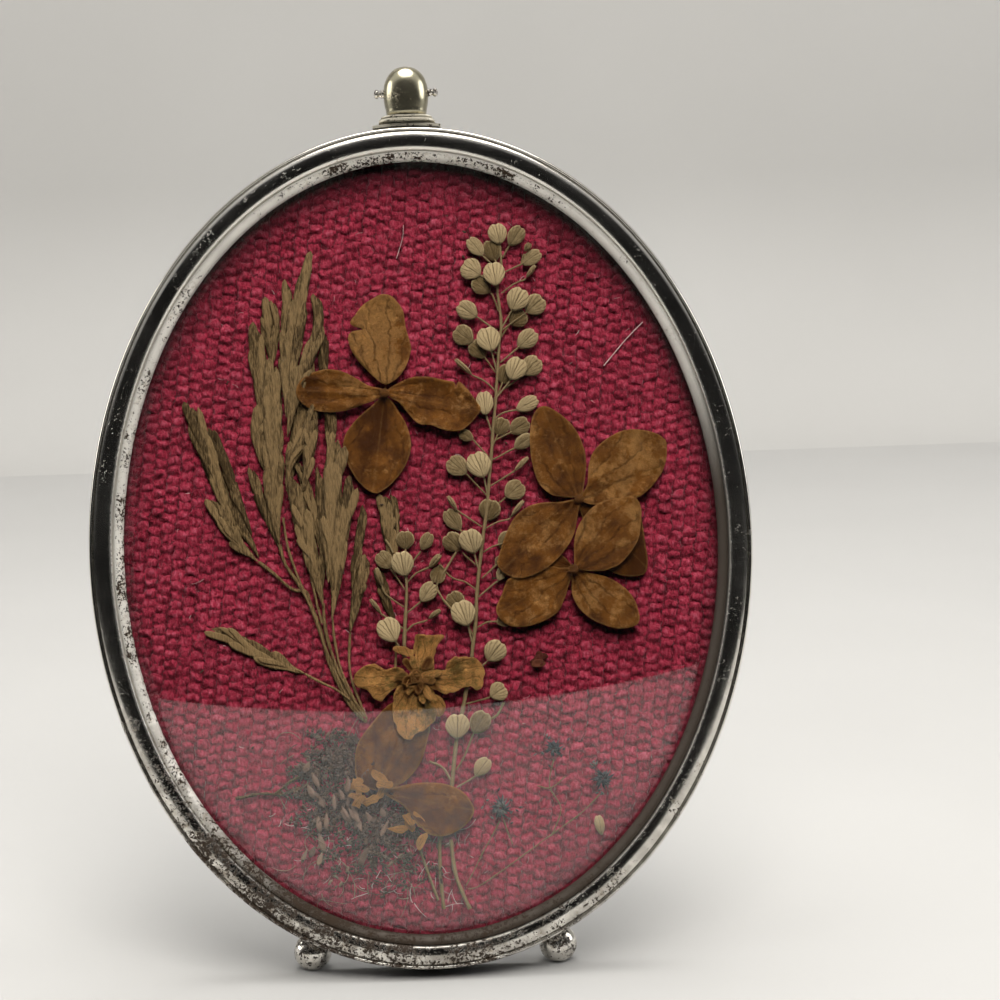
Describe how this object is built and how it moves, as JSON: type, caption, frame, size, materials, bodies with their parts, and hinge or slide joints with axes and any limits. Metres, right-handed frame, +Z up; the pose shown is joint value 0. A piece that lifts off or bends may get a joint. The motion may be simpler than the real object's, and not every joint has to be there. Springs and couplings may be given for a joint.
{
  "type": "pressed flower frame",
  "caption": "Small oval easel frame in worn silvered metal with domed glass over dried flowers and grasses pressed on crimson woven cloth.",
  "frame": {"origin": "on the resting surface, at the middle of the whole object's box", "axes": "+Z up, the frame faces -Y and leans back, +X to the right seen from the front"},
  "size_m": [0.0994, 0.044, 0.1347],
  "materials": {
    "silvered_metal": "thin bright plate over brass, polished but worn and pitted with dark specks",
    "aged_brass": "sheet brass with a dull brown tarnish",
    "clear_glass": "smooth clear domed glass",
    "crimson_cloth": "coarse crimson half-basket weave, matt",
    "grey_card": "plain grey card",
    "dry_grass": "dry ribbed olive-tan grass",
    "dry_pods": "dry papery tan-green pods and stems",
    "brown_petals": "dry veined golden-brown sepals",
    "yellow_petals": "dry crumpled yellow-brown petals",
    "dark_moss": "dark brown dry plant bits",
    "blue_flowers": "dry blue-black flower heads on pale threads"
  },
  "bodies": {
    "frame": {"rim": "silvered_metal", "foot_left": "silvered_metal", "foot_right": "silvered_metal", "finial_strap": "silvered_metal", "finial_saddle": "silvered_metal", "finial_dome": "silvered_metal", "finial_pin": "silvered_metal", "back_plate": "aged_brass", "back_tab_1": "aged_brass", "back_tab_2": "aged_brass", "back_tab_3": "aged_brass", "back_tab_4": "aged_brass", "strut_bracket": "aged_brass", "bracket_rivet_left": "aged_brass", "bracket_rivet_right": "aged_brass", "strut_pin": "aged_brass", "glass_dome": "clear_glass", "cloth": "crimson_cloth", "mount_card": "grey_card", "grass_far_left": "dry_grass", "grass_left": "dry_grass", "grass_middle": "dry_grass", "grass_front": "dry_grass", "grass_small": "dry_grass", "grass_low": "dry_grass", "grass_stalk": "dry_grass", "leaf_twig": "dry_grass", "peppergrass_tall": "dry_pods", "peppergrass_short": "dry_pods", "stalk_left": "dry_pods", "stalk_middle": "dry_pods", "stalk_right": "dry_pods", "loose_seed": "dry_pods", "hydrangea_left": "brown_petals", "hydrangea_upper_right": "brown_petals", "hydrangea_lower_right": "brown_petals", "hydrangea_low": "brown_petals", "crumpled_flower": "yellow_petals", "moss_tuft": "dark_moss", "brown_flake": "dark_moss", "blue_spray_left": "blue_flowers", "blue_spray_right": "blue_flowers"},
    "strut": {"strut_leg": "aged_brass"}
  },
  "joints": [
    {"name": "strut_hinge", "type": "hinge", "parent": "frame", "child": "strut", "pos_m": [0, 0.00269, 0.08147], "axis": [1, 0, 0], "range_deg": [-22, 0]}
  ]
}
